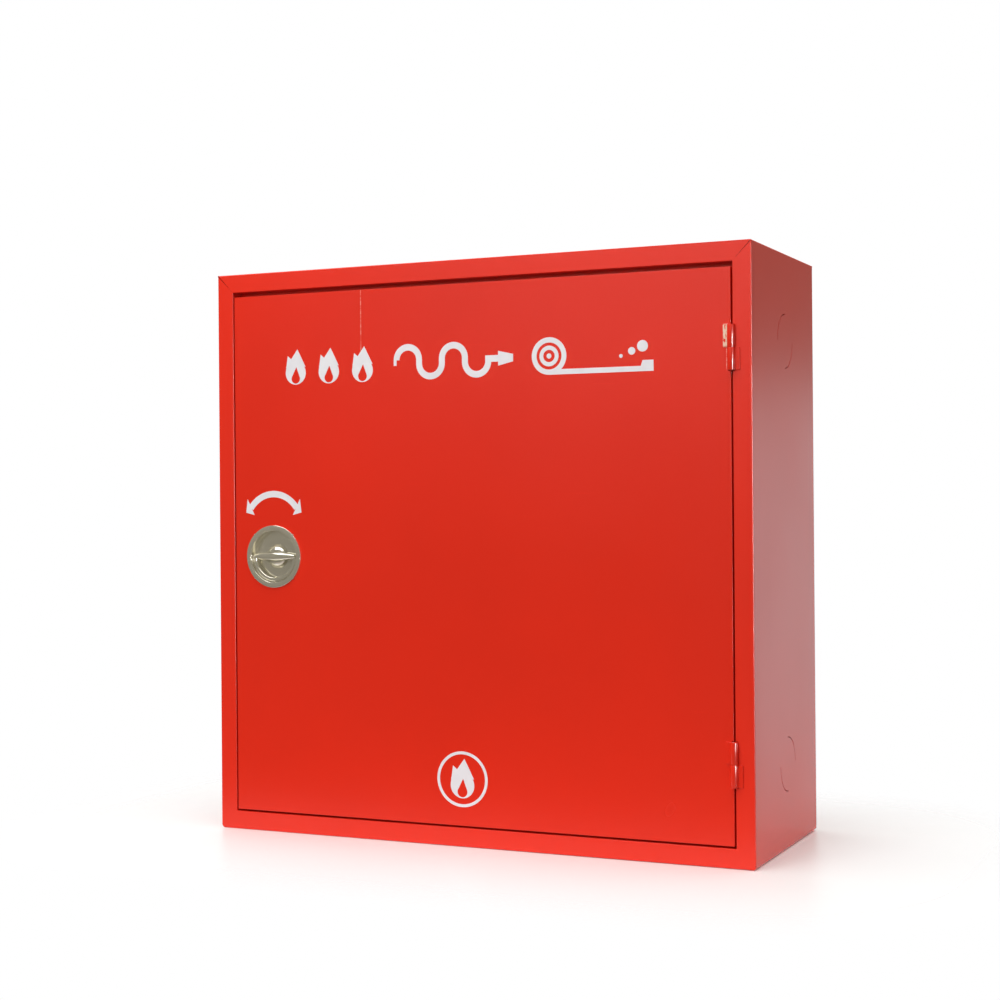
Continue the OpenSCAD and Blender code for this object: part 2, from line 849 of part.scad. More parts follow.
// The ball and its stem turn together; the valve is shut when the ball's bore lies across the pipe
module valve_ball() {
    color(steel) translate([valve_x, knockout_y, knockout_low_z]) difference() {
        union() {
            sphere(r = 19);
            cylinder(r = valve_stem_r, h = 52);
        }
        rod_y(valve_bore_r, -30, 30);
    }
}

module valve_lever() {
    lever_len = 105;
    lever_w = 16;
    color(red) translate([valve_x, knockout_y, lever_z]) difference() {
        linear_extrude(lever_t) {
            circle(r = 13);
            translate([-lever_w / 2, -lever_len]) square([lever_w, lever_len]);
            translate([0, -lever_len]) circle(r = lever_w / 2);
        }
        translate([0, 0, -1]) cylinder(r = valve_stem_r, h = lever_t + 2);
    }
}

module valve_lever_nut() {
    color(steel) translate([valve_x, knockout_y, lever_z + lever_t]) difference() {
        linear_extrude(6) hexagon(16);
        translate([0, 0, -1]) cylinder(r = valve_stem_r, h = 8);
    }
}

// ---------- Turning reel ----------

module reel_hub() {
    color(red) difference() {
        union() {
            rod_y(hub_r, hub_y0, hub_y1, 0, reel_z);
            rod_y(hub_flange_r, wind_front_y, wind_front_y + 5, 0, reel_z);
            rod_y(hub_flange_r, reel_back_y - 5, reel_back_y, 0, reel_z);
        }
        rod_y(hub_bore_r, hub_y0 - 1, hub_y1 + 1, 0, reel_z);
        translate([0, reel_mid_y, reel_z]) cylinder(r = outlet_r, h = hub_r + 5);
    }
}

module hub_bushes() {
    bush_len = 28;
    color(brass) for (y = [hub_y0, hub_y1 - bush_len])
        tube_y(hub_bore_r, axle_r + run_gap, y, y + bush_len, 0, reel_z);
}

// A pressed disc with six round windows, a stiffening bead and a rolled rim.
// The bead stands on the side away from the hose, which is -1 for the front disc.
module reel_disc(y0, out) {
    bead_r = 5;
    bead_at = 138;
    window_r = 36;
    window_at = 198;
    tie_hole_r = 4.2;
    face_y = out < 0 ? 0 : disc_t;
    color(red) difference() {
        translate([0, y0, 0]) turned_y(0, reel_z) {
            translate([hub_r, 0]) square([disc_r - rim_r - hub_r, disc_t]);
            translate([disc_r - rim_r, disc_t / 2]) circle(r = rim_r);
            intersection() {
                translate([bead_at, face_y]) circle(r = bead_r);
                translate([bead_at - bead_r, out < 0 ? -bead_r : disc_t / 2])
                    square([2 * bead_r, bead_r + disc_t / 2]);
            }
        }
        for (a = [0 : 60 : 300]) {
            rod_y(window_r, y0 - 10, y0 + 10, window_at * cos(a), reel_z + window_at * sin(a));
            rod_y(tie_hole_r, y0 - 10, y0 + 10, tie_r * cos(a), reel_z + tie_r * sin(a));
        }
    }
}

module reel_disc_front() { reel_disc(reel_front_y, -1); }
module reel_disc_rear() { reel_disc(reel_back_y, 1); }

module reel_drum() {
    color(red) difference() {
        tube_y(drum_r, drum_r - 1.5, wind_front_y, reel_back_y, 0, reel_z);
        translate([0, reel_mid_y, reel_z + drum_r - 20]) cylinder(r = outlet_r, h = 40);
    }
}

// Six long bolts that clamp the discs on the drum
module drum_tie_bolts() {
    color(steel) for (a = [0 : 60 : 300]) translate([tie_r * cos(a), 0, reel_z + tie_r * sin(a)]) {
        rod_y(4, reel_front_y - 5, reel_back_y + disc_t + 9);
        along_y(reel_front_y - 5.5, reel_front_y) hexagon(13);
        along_y(reel_back_y + disc_t, reel_back_y + disc_t + 6.5) hexagon(13);
    }
}

// Takes the water from the hub to the inner end of the hose
module drum_outlet_pipe() {
    color(brass) translate([0, reel_mid_y, reel_z]) difference() {
        intersection() {
            cylinder(r = outlet_r, h = drum_r + 10);
            rod_y(drum_r, -20, 20);
        }
        rod_y(hub_r, -20, 20);
        cylinder(r = water_r, h = drum_r + 20);
    }
}

// A point on a circle round the reel, in X and Z
function round_reel(angle, r) = [r * cos(angle), r * sin(angle)];

// The wound hose as one ring of its outer shape, open where the free end rises off it
module hose_wound() {
    far = 2 * pack_r;
    middle = (tail_gap_start + tail_gap_end) / 2;
    color(black) difference() {
        turned_y(0, reel_z)
            translate([drum_r + free_gap, pack_front_y])
                square([pack_r - drum_r - free_gap, turns * turn_pitch]);
        along_y(pack_front_y - 1, pack_front_y + turn_pitch + 0.5) translate([0, reel_z]) intersection() {
            difference() {
                circle(r = pack_r + 1, $fn = 128);
                circle(r = pack_r - tail_gap_depth, $fn = 128);
            }
            polygon([[0, 0], for (a = [tail_gap_start, middle, tail_gap_end]) round_reel(a, far)]);
        }
    }
}

function polar_point(p) = [p[1] * cos(p[0]), front_y + p[2], reel_z + p[1] * sin(p[0])];
function end_point(p) = [p[0], front_y + p[2], reel_z + p[1]];
tail_path = concat([for (p = tail_turn) polar_point(p)], [for (p = tail_end) end_point(p)]);

function unit(v) = v / norm(v);
function path_dir(path, i) = unit(path[min(i + 1, len(path) - 1)] - path[max(i - 1, 0)]);

// A tube of the given radius swept along a list of points, closed at both ends
module swept_tube(path, r, sides) {
    last = len(path) - 1;
    rings = [for (i = [0 : last]) let (d = path_dir(path, i), u = unit(cross(d, [0, 1, 0])), v = cross(u, d))
        for (k = [0 : sides - 1]) path[i] + r * (cos(360 * k / sides) * u + sin(360 * k / sides) * v)];
    side_faces = [for (i = [0 : last - 1], k = [0 : sides - 1])
        let (a = i * sides, b = a + sides, n = (k + 1) % sides) [a + k, a + n, b + n, b + k]];
    end_faces = [[for (k = [sides - 1 : -1 : 0]) k], [for (k = [0 : sides - 1]) last * sides + k]];
    polyhedron(rings, concat(side_faces, end_faces));
}

// The free end of the hose, from where it rises off the winding to the nozzle
module hose_tail() {
    color(black) swept_tube(tail_path, hose_r - free_gap, 12);
}

module hose_ferrule() {
    color(brass) difference() {
        rod_x(15.5, 52, 80, nozzle_y, nozzle_z);
        rod_x(8, 51, 81, nozzle_y, nozzle_z);
    }
}

// A spring clip on the front disc that holds the nozzle
module nozzle_clip() {
    clip_in = 13.1;
    clip_out = 15;
    color(steel) translate([-6, nozzle_y, nozzle_z]) {
        rotate([0, 90, 0]) linear_extrude(18) rotate(-60) ring_segment(clip_out, clip_in, 0, 300);
        difference() {
            translate([0, clip_in + 1, -6]) cube([18, reel_front_y - nozzle_y - clip_in - 1, 12]);
            rod_x(clip_in, -1, 19);
        }
    }
}

module nozzle_body() {
    color(black) difference() {
        union() {
            rod_x(13, -30, 52, nozzle_y, nozzle_z);
            rod_x(9, -34, 0, nozzle_y, nozzle_z);
        }
        rod_x(6, -40, 60, nozzle_y, nozzle_z);
    }
}

// The turning collar that shuts the jet and sets the spray
module nozzle_collar() {
    color(red) difference() {
        union() {
            rod_x(15, -80, -30.3, nozzle_y, nozzle_z);
            rod_x(11, -92, -79, nozzle_y, nozzle_z);
        }
        rod_x(9 + run_gap, -36, -29, nozzle_y, nozzle_z);
        rod_x(5, -95, -30, nozzle_y, nozzle_z);
        for (a = [0 : 30 : 330]) translate([0, nozzle_y, nozzle_z]) rotate([a, 0, 0])
            rod_x(1.6, -76, -44, 15.2, 0, 24);
    }
}

body_shell();
back_panel();
door_bumpers();
inlet_grommet();
hinge_frame_leaf_upper();
hinge_frame_leaf_lower();
hinge_pin_upper();
hinge_pin_lower();
hinge_washers();
door_panel();
door_stiffener();
hinge_door_leaf_upper();
hinge_door_leaf_lower();
latch_dish();
latch_clamp_ring();
latch_clamp_screws();
decal_band();
decal_arrow();
decal_badge();
latch_spindle();
latch_washer();
latch_cam();
latch_nut();
latch_ring_pull();
reel_bracket();
bracket_bolts();
axle();
axle_nuts();
thrust_washer();
axle_o_rings();
axle_elbow();
feed_pipe();
pipe_clamp();
valve_body();
valve_packing_nut();
valve_ball();
valve_lever();
valve_lever_nut();
reel_hub();
hub_bushes();
reel_disc_front();
reel_disc_rear();
reel_drum();
drum_tie_bolts();
drum_outlet_pipe();
hose_wound();
hose_tail();
hose_ferrule();
nozzle_clip();
nozzle_body();
nozzle_collar();
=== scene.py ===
"""Looks of the fire hose reel cabinet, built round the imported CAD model. Metres, +Z up, the door faces -Y."""
import json
import math

import bpy
from mathutils import Matrix, Vector


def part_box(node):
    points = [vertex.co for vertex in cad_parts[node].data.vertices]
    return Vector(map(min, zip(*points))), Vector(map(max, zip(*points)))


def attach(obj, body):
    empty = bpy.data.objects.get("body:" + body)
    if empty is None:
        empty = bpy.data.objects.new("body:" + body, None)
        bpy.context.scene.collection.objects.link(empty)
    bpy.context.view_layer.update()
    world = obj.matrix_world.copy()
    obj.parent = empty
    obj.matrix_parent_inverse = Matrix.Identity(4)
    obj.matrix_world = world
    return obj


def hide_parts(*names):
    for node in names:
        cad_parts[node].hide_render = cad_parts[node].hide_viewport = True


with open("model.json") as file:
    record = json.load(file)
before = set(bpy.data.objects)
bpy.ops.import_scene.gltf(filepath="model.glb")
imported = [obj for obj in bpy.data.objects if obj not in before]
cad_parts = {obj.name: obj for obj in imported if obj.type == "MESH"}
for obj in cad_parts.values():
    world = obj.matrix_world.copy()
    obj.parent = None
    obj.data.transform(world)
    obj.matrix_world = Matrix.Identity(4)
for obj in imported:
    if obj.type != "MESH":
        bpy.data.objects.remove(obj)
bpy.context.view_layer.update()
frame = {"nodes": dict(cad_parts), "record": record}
MM = 0.001

# ---------- Places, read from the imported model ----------

shell_lo, shell_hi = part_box("body_shell")
DOOR_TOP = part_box("door_panel")[1].z
FRONT_Y = shell_lo.y
BODY_H = shell_hi.z
drum_lo, drum_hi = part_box("reel_drum")
pack_lo, pack_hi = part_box("hose_wound")
REEL_Z = (drum_lo.z + drum_hi.z) / 2

# ---------- Camera, lights and floor ----------

CAMERA_PLACE = (1047.9 * MM, FRONT_Y - 2185.3 * MM, 476.5 * MM)
CAMERA_TURN_DEG = 24.595    # to the left of straight back
CAMERA_TILT_DEG = -0.109    # above the horizon
CAMERA_ROLL_DEG = -0.462
CAMERA_LENS_MM = 64.21
ROOM_GLOW = 0.24
ROOM_COLOUR = (1.0, 0.92, 0.76)
BACKDROP_GLOW = 1.0
FLOOR_FADE_FROM = 0.02      # from the cabinet's footprint
FLOOR_FADE_TO = 0.34
FLOOR_GLOW = 0.10
FLOOR_HALF_SIZE = 4.0
FLOOR_DROP = 0.5 * MM       # keeps the floor clear of the cabinet's underside

# The lit backdrop, as ranges of a view direction's parts: it is tall at the left and low at the right
BACKDROP_BEHIND = (-0.1, 0.25)
BACKDROP_FOOT = (-0.195, -0.165)
BACKDROP_TOP_LEFT = (0.30, 0.45)
BACKDROP_TOP_RIGHT = (0.040, 0.083)
BACKDROP_STEP = (0.0, 0.12)


def make_camera():
    data = bpy.data.cameras.new("camera")
    data.lens = CAMERA_LENS_MM
    data.sensor_width = 36.0
    data.clip_start = 0.05
    data.clip_end = 60.0
    camera = bpy.data.objects.new("camera", data)
    turn = Matrix.Rotation(math.radians(CAMERA_TURN_DEG), 4, "Z")
    tilt = Matrix.Rotation(math.radians(90 + CAMERA_TILT_DEG), 4, "X")
    roll = Matrix.Rotation(math.radians(CAMERA_ROLL_DEG), 4, "Z")
    camera.matrix_world = Matrix.Translation(CAMERA_PLACE) @ turn @ tilt @ roll
    bpy.context.scene.collection.objects.link(camera)
    bpy.context.scene.camera = camera


def aim(obj, target):
    direction = Vector(target) - obj.location
    obj.rotation_euler = direction.to_track_quat("-Z", "Y").to_euler()


def area_light(name, place, target, width, height, power):
    data = bpy.data.lights.new(name, "AREA")
    data.shape = "RECTANGLE"
    data.size = width
    data.size_y = height
    data.energy = power
    light = bpy.data.objects.new(name, data)
    light.location = place
    aim(light, target)
    bpy.context.scene.collection.objects.link(light)
    return light


def make_world():
    """A white backdrop behind, a dim room in front; the camera itself sees plain white."""
    world = bpy.data.worlds.new("studio")
    bpy.context.scene.world = world
    world.use_nodes = True
    tree = world.node_tree
    tree.nodes.clear()

    def ramp(value, low, high, to_low, to_high):
        node = tree.nodes.new("ShaderNodeMapRange")
        node.interpolation_type = "SMOOTHSTEP"
        for name, number in zip(("From Min", "From Max", "To Min", "To Max"), (low, high, to_low, to_high)):
            node.inputs[name].default_value = number
        tree.links.new(value, node.inputs["Value"])
        return node.outputs["Result"]

    def combine(operation, one, two):
        node = tree.nodes.new("ShaderNodeMath")
        node.operation = operation
        for socket, value in zip(node.inputs, (one, two)):
            if isinstance(value, float):
                socket.default_value = value
            else:
                tree.links.new(value, socket)
        return node.outputs["Value"]

    split = tree.nodes.new("ShaderNodeSeparateXYZ")
    direction = tree.nodes.new("ShaderNodeTexCoord").outputs["Generated"]
    tree.links.new(direction, split.inputs["Vector"])
    behind = ramp(split.outputs["Y"], *BACKDROP_BEHIND, 0.0, 1.0)
    foot = ramp(split.outputs["Z"], *BACKDROP_FOOT, 0.0, 1.0)
    low_edge = ramp(split.outputs["Z"], *BACKDROP_TOP_RIGHT, 1.0, 0.0)
    tall_edge = ramp(split.outputs["Z"], *BACKDROP_TOP_LEFT, 1.0, 0.0)
    at_right = ramp(split.outputs["X"], *BACKDROP_STEP, 0.0, 1.0)
    tall = combine("MULTIPLY", tall_edge, combine("SUBTRACT", 1.0, at_right))
    low = combine("MULTIPLY", low_edge, at_right)
    backdrop = combine("MULTIPLY", combine("MULTIPLY", behind, foot), combine("ADD", tall, low))
    strength = combine("ADD", ROOM_GLOW, combine("MULTIPLY", backdrop, BACKDROP_GLOW - ROOM_GLOW))

    room = tree.nodes.new("ShaderNodeBackground")
    tint = tree.nodes.new("ShaderNodeMix")
    tint.data_type = "RGBA"
    tint.inputs[6].default_value = (*ROOM_COLOUR, 1)
    tint.inputs[7].default_value = (1, 1, 1, 1)
    tree.links.new(backdrop, tint.inputs["Factor"])
    tree.links.new(tint.outputs[2], room.inputs["Color"])
    tree.links.new(strength, room.inputs["Strength"])
    plain = tree.nodes.new("ShaderNodeBackground")
    plain.inputs["Color"].default_value = (1, 1, 1, 1)
    path = tree.nodes.new("ShaderNodeLightPath")
    mix = tree.nodes.new("ShaderNodeMixShader")
    tree.links.new(path.outputs["Is Camera Ray"], mix.inputs["Fac"])
    tree.links.new(room.outputs["Background"], mix.inputs[1])
    tree.links.new(plain.outputs["Background"], mix.inputs[2])
    out = tree.nodes.new("ShaderNodeOutputWorld")
    tree.links.new(mix.outputs["Shader"], out.inputs["Surface"])


def make_lights():
    middle = (0, FRONT_Y, BODY_H / 2)
    key = area_light("key", (-1.0, -3.9, 2.0), middle, 2.6, 2.2, 96)
    key.visible_glossy = False
    area_light("top", (0, -0.4, 2.9), (0, -0.4, 0), 3.6, 3.0, 112)
    # A narrow upright light that only edges and round parts reflect towards the camera
    strip = area_light("strip", (2.3, -1.42, 0.5), (0.4, FRONT_Y, 0.5), 0.22, 0.9, 90)
    strip.visible_diffuse = False


make_camera()
make_world()
make_lights()
bpy.context.scene.view_settings.view_transform = "Standard"

# ---------- Material helpers ----------


class Surface:
    """A node material under construction: a Principled shader and helpers that add detail to it."""

    def __init__(self, name, colour, roughness, metallic=0.0):
        self.material = bpy.data.materials.new(name)
        self.material.use_nodes = True
        self.tree = self.material.node_tree
        self.shader = self.tree.nodes["Principled BSDF"]
        self.shader.inputs["Base Color"].default_value = (*colour, 1)
        self.shader.inputs["Roughness"].default_value = roughness
        self.shader.inputs["Metallic"].default_value = metallic
        self.material.diffuse_color = (*colour, 1)
        self.place = self.add("ShaderNodeTexCoord").outputs["Object"]

    def add(self, kind, **settings):
        node = self.tree.nodes.new(kind)
        for key, value in settings.items():
            setattr(node, key, value)
        return node

    def link(self, source, target):
        self.tree.links.new(source, target)

    def stretched(self, scale):
        """Object coordinates multiplied by a scale for each axis."""
        mapping = self.add("ShaderNodeMapping")
        mapping.inputs["Scale"].default_value = scale
        self.link(self.place, mapping.inputs["Vector"])
        return mapping.outputs["Vector"]

    def noise(self, scale, detail=2.0, rough=0.5, vector=None):
        node = self.add("ShaderNodeTexNoise")
        node.inputs["Scale"].default_value = scale
        node.inputs["Detail"].default_value = detail
        node.inputs["Roughness"].default_value = rough
        self.link(vector or self.place, node.inputs["Vector"])
        return node.outputs["Fac"]

    def spread(self, value, low, high, to_low=0.0, to_high=1.0):
        """Maps low..high to to_low..to_high, clamped."""
        node = self.add("ShaderNodeMapRange")
        node.inputs["From Min"].default_value = low
        node.inputs["From Max"].default_value = high
        node.inputs["To Min"].default_value = to_low
        node.inputs["To Max"].default_value = to_high
        self.link(value, node.inputs["Value"])
        return node.outputs["Result"]

    def math(self, operation, a, b):
        node = self.add("ShaderNodeMath", operation=operation)
        for socket, value in zip(node.inputs, (a, b)):
            if isinstance(value, (int, float)):
                socket.default_value = value
            else:
                self.link(value, socket)
        return node.outputs["Value"]

    def blend_colour(self, factor, under, over):
        """Mixes two colours or colour sockets; returns the mixed socket."""
        node = self.add("ShaderNodeMix", data_type="RGBA")
        self.link(factor, node.inputs["Factor"])
        for socket, value in ((node.inputs[6], under), (node.inputs[7], over)):
            if isinstance(value, tuple):
                socket.default_value = (*value, 1)
            else:
                self.link(value, socket)
        return node.outputs[2]

    def colour_from(self, socket):
        self.link(socket, self.shader.inputs["Base Color"])

    def roughness_from(self, socket):
        self.link(socket, self.shader.inputs["Roughness"])

    def bump_from(self, height, strength, distance):
        node = self.add("ShaderNodeBump")
        node.inputs["Strength"].default_value = strength
        node.inputs["Distance"].default_value = distance
        self.link(height, node.inputs["Height"])
        self.link(node.outputs["Normal"], self.shader.inputs["Normal"])

    def coordinate(self, axis):
        split = self.add("ShaderNodeSeparateXYZ")
        self.link(self.place, split.inputs["Vector"])
        return split.outputs[axis]

    def inside(self, axis, low, high, soft):
        """1 between low and high along an axis, falling to 0 over soft on both sides."""
        value = self.coordinate(axis)
        rise = self.spread(value, low - soft, low)
        fall = self.spread(value, high, high + soft, 1.0, 0.0)
        return self.math("MULTIPLY", rise, fall)


def lighter(colour, k):
    return tuple(min(1.0, c * k) for c in colour)


# ---------- Materials ----------

SIGNAL_RED = (0.74, 0.018, 0.003)
SHELL_RED = (0.78, 0.022, 0.006)
PRIMER = (0.80, 0.62, 0.45)
SCRATCH_LEFT = -164.5 * MM
SCRATCH_RIGHT = -163.8 * MM
SCRATCH_BOTTOM = 683 * MM
CHIPS_REACH = (10.5 * MM, 5.8 * MM)     # from the hinge barrel's axis, to the left
WORN_REACH = (7.1 * MM, 5.9 * MM)


def paint(name, colour=SIGNAL_RED, marks=None):
    """Stoved signal red paint: orange peel, faint smudges and hairline scuffs."""
    s = Surface(name, colour, 0.24)
    tone = s.spread(s.noise(3.5, 3), 0.0, 1.0)
    colour_now = s.blend_colour(tone, lighter(colour, 0.91), lighter(colour, 1.09))
    scuff = s.noise(1.0, 2, 0.6, s.stretched((9, 9, 320)))
    scuff_mask = s.spread(scuff, 0.72, 0.84, 0.0, 0.2)
    colour_now = s.blend_colour(scuff_mask, colour_now, lighter(colour, 1.5))
    if marks:
        colour_now = marks(s, colour_now)
    s.colour_from(colour_now)
    smudge = s.spread(s.noise(5, 2, 0.5), 0.0, 1.0, 0.20, 0.30)
    s.roughness_from(smudge)
    peel = s.noise(330, 2, 0.5)
    s.bump_from(peel, 0.08, 0.0004)
    s.shader.inputs["Specular IOR Level"].default_value = 0.5
    return s.material


def door_marks(s, colour_now):
    """A scratch at the top left and chips beside the upper hinge, both in front only, and a worn line."""
    front = s.inside("Y", FRONT_Y - 0.02, FRONT_Y + 0.0006, 0.0002)
    leaf_lo, leaf_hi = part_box("hinge_door_leaf_upper")
    frame_leaf_lo, frame_leaf_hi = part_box("hinge_frame_leaf_upper")
    barrel_x = (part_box("hinge_pin_upper")[0].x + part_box("hinge_pin_upper")[1].x) / 2
    scratch = s.math(
        "MULTIPLY",
        s.inside("X", SCRATCH_LEFT, SCRATCH_RIGHT, 0.0004),
        s.inside("Z", SCRATCH_BOTTOM, DOOR_TOP, 0.012),
    )
    broken = s.spread(s.noise(1.0, 3, 0.6, s.stretched((60, 60, 160))), 0.42, 0.60, 0.15, 0.8)
    scratch = s.math("MULTIPLY", s.math("MULTIPLY", scratch, broken), front)
    colour_now = s.blend_colour(scratch, colour_now, (0.85, 0.42, 0.30))
    zone = s.math(
        "MULTIPLY",
        s.inside("X", barrel_x - CHIPS_REACH[0], barrel_x - CHIPS_REACH[1], 0.0010),
        s.inside("Z", leaf_lo.z + 0.002, leaf_hi.z - 0.001, 0.003),
    )
    ragged = s.spread(s.noise(1.0, 3, 0.55, s.stretched((260, 260, 110))), 0.36, 0.44)
    chips = s.math("MULTIPLY", s.math("MULTIPLY", zone, ragged), front)
    colour_now = s.blend_colour(chips, colour_now, PRIMER)
    worn = s.math(
        "MULTIPLY",
        s.inside("X", barrel_x - WORN_REACH[0], barrel_x - WORN_REACH[1], 0.0004),
        s.inside("Z", frame_leaf_lo.z + 0.003, frame_leaf_hi.z, 0.004),
    )
    return s.blend_colour(s.math("MULTIPLY", worn, broken), colour_now, (0.85, 0.45, 0.36))


def printed_white():
    """Screen print: white ink with a faint mottle and pinholes."""
    s = Surface("printed_white", (0.80, 0.79, 0.84), 0.42)
    mottle = s.spread(s.noise(60, 3), 0.3, 0.7)
    s.colour_from(s.blend_colour(mottle, (0.77, 0.76, 0.81), (0.83, 0.82, 0.87)))
    s.bump_from(s.noise(500, 2), 0.05, 0.0002)
    return s.material


def metal(name, colour, rough_low, rough_high, grain=None, tint=None, body=1.0):
    """A metal with uneven roughness; grain stretches the noise along an axis as machining does.

    A body under 1 gives the slightly milky look of dull plating."""
    s = Surface(name, colour, rough_low, body)
    patch = s.noise(45, 4, 0.6, s.stretched(grain) if grain else None)
    s.roughness_from(s.spread(patch, 0.3, 0.7, rough_low, rough_high))
    tone = s.spread(s.noise(9, 3), 0.35, 0.65)
    s.colour_from(s.blend_colour(tone, lighter(colour, 0.93), tint or lighter(colour, 1.05)))
    s.bump_from(patch, 0.04, 0.0003)
    return s.material


def dull(name, colour, roughness, grain_scale, strength, distance=0.0004):
    """Rubber or moulded plastic: fine texture, slight unevenness of tone."""
    s = Surface(name, colour, roughness)
    tone = s.spread(s.noise(20, 3), 0.3, 0.7)
    s.colour_from(s.blend_colour(tone, lighter(colour, 0.8), lighter(colour, 1.3)))
    s.roughness_from(s.spread(s.noise(40, 3), 0.3, 0.7, roughness - 0.07, roughness + 0.07))
    s.bump_from(s.noise(grain_scale, 2), strength, distance)
    return s.material


MATERIALS = {
    "shell_paint": paint("shell_paint", SHELL_RED),
    "door_paint": paint("door_paint", marks=door_marks),
    "printed_white": printed_white(),
    "latch_metal": metal("latch_metal", (0.82, 0.79, 0.68), 0.10, 0.20, body=0.88),
    "zinc_steel": metal("zinc_steel", (0.60, 0.60, 0.58), 0.28, 0.45, tint=(0.66, 0.63, 0.52)),
    "brass": metal("brass", (0.75, 0.55, 0.24), 0.20, 0.36),
    "valve_metal": metal("valve_metal", (0.66, 0.64, 0.59), 0.20, 0.34),
    "valve_chrome": metal("valve_chrome", (0.8, 0.8, 0.8), 0.05, 0.10),
    "lever_paint": paint("lever_paint", (0.60, 0.02, 0.01)),
    "pipe_paint": paint("pipe_paint", (0.66, 0.025, 0.010)),
    "reel_paint": paint("reel_paint", (0.70, 0.026, 0.010)),
    "black_rubber": dull("black_rubber", (0.025, 0.025, 0.027), 0.62, 300, 0.15),
    "hose_rubber": dull("hose_rubber", (0.022, 0.022, 0.024), 0.46, 420, 0.25),
    "nozzle_plastic": dull("nozzle_plastic", (0.028, 0.028, 0.030), 0.45, 700, 0.12),
    "nozzle_collar_plastic": dull("nozzle_collar_plastic", (0.55, 0.03, 0.015), 0.40, 700, 0.12),
}


def dress_cad_nodes():
    for row in frame["record"]["subparts"]:
        data = frame["nodes"][row["node"]].data
        data.materials.clear()
        data.materials.append(MATERIALS[row["material_slot"]])


# ---------- Softened edges on CAD nodes ----------

BEVELS_MM = {
    "back_panel": 0.4, "reel_bracket": 0.8, "door_stiffener": 0.4,
    "hinge_frame_leaf_upper": 0.5, "hinge_frame_leaf_lower": 0.5, "hinge_door_leaf_upper": 0.5,
    "hinge_door_leaf_lower": 0.5, "latch_dish": 0.4, "latch_cam": 0.5, "valve_body": 0.7, "valve_lever": 0.8,
    "axle_nuts": 0.9, "axle_elbow": 1.2, "reel_hub": 0.8, "hose_ferrule": 0.8, "nozzle_body": 0.8,
    "nozzle_collar": 0.8, "nozzle_clip": 0.4, "pipe_clamp": 0.6, "latch_nut": 0.5, "bracket_bolts": 0.5,
    "drum_tie_bolts": 0.5, "latch_spindle": 0.3, "latch_ring_pull": 0.3, "valve_packing_nut": 0.4,
    "valve_lever_nut": 0.4, "reel_disc_front": 0.3, "reel_disc_rear": 0.3, "latch_clamp_ring": 0.3,
    "hinge_pin_upper": 0.5, "hinge_pin_lower": 0.5, "axle": 0.6, "door_bumpers": 0.6,
}
EDGE_SEGMENTS = 3
FOLD_SEGMENTS = 4
WELD_DISTANCE = 0.02 * MM
SHEET_METAL = ("body_shell", "door_panel")
LONG_EDGE = 20 * MM
SHARP_EDGE = math.radians(35)
FOLD_MM = {"body_shell": 2.0, "door_panel": 1.3}
CUT_EDGE_SHARE = 0.45       # of the fold's radius, at edges that are cut and not folded
TOUCH = 0.3 * MM


class Nodes:
    """A geometry node group under construction, from its input geometry to its output."""

    def __init__(self, name):
        self.group = bpy.data.node_groups.new(name, "GeometryNodeTree")
        for way in ("INPUT", "OUTPUT"):
            self.group.interface.new_socket("Geometry", in_out=way, socket_type="NodeSocketGeometry")
        self.flow = self.add("NodeGroupInput").outputs[0]

    def add(self, kind, **settings):
        node = self.group.nodes.new(kind)
        for key, value in settings.items():
            setattr(node, key, value)
        return node

    def math(self, operation, a, b=0.0, kind="ShaderNodeMath"):
        node = self.add(kind, operation=operation)
        for socket, value in zip(node.inputs, (a, b)):
            if isinstance(value, (int, float)):
                socket.default_value = value
            else:
                self.group.links.new(value, socket)
        return node.outputs["Value"]

    def sharp_edges(self):
        angle = self.add("GeometryNodeInputMeshEdgeAngle").outputs["Unsigned Angle"]
        return self.math("GREATER_THAN", angle, SHARP_EDGE)

    def through(self, node, **inputs):
        """Sends the geometry through a node, with sockets or plain values at its named inputs."""
        self.group.links.new(self.flow, node.inputs["Geometry"])
        for name, value in inputs.items():
            socket = node.inputs[name.replace("_", " ")]
            if isinstance(value, (str, bool)):
                socket.default_value = value
            else:
                self.group.links.new(value, socket)
        self.flow = node.outputs["Geometry"]

    def done(self):
        self.group.links.new(self.flow, self.add("NodeGroupOutput").inputs[0])
        return self.group


def sheet_edge_weights(name, lo, hi):
    """Bevel weights for bent sheet: 1 on its outermost long edges, less on those cut into its front."""
    g = Nodes(name + "_edges")
    ends = g.add("GeometryNodeInputMeshEdgeVertices")
    from_point, to_point = ends.outputs["Position 1"], ends.outputs["Position 2"]
    length = g.math("DISTANCE", from_point, to_point, "ShaderNodeVectorMath")
    split = g.add("ShaderNodeSeparateXYZ")
    g.group.links.new(g.add("GeometryNodeInputPosition").outputs["Position"], split.inputs["Vector"])
    outermost = 0.0
    for axis in "XZ":
        middle = (getattr(lo, axis.lower()) + getattr(hi, axis.lower())) / 2
        half_size = (getattr(hi, axis.lower()) - getattr(lo, axis.lower())) / 2
        reach = g.math("ABSOLUTE", g.math("SUBTRACT", split.outputs[axis], middle))
        outermost = g.math("MAXIMUM", outermost, g.math("GREATER_THAN", reach, half_size - TOUCH))
    in_front = g.math("LESS_THAN", split.outputs["Y"], lo.y + TOUCH)
    weight = g.math("MAXIMUM", outermost, g.math("MULTIPLY", in_front, CUT_EDGE_SHARE))
    weight = g.math("MULTIPLY", weight, g.math("GREATER_THAN", length, LONG_EDGE))
    weight = g.math("MULTIPLY", weight, g.sharp_edges())
    store = g.add("GeometryNodeStoreNamedAttribute", data_type="FLOAT", domain="EDGE")
    g.through(store, Name="bevel_weight_edge", Value=weight)
    return g.done()


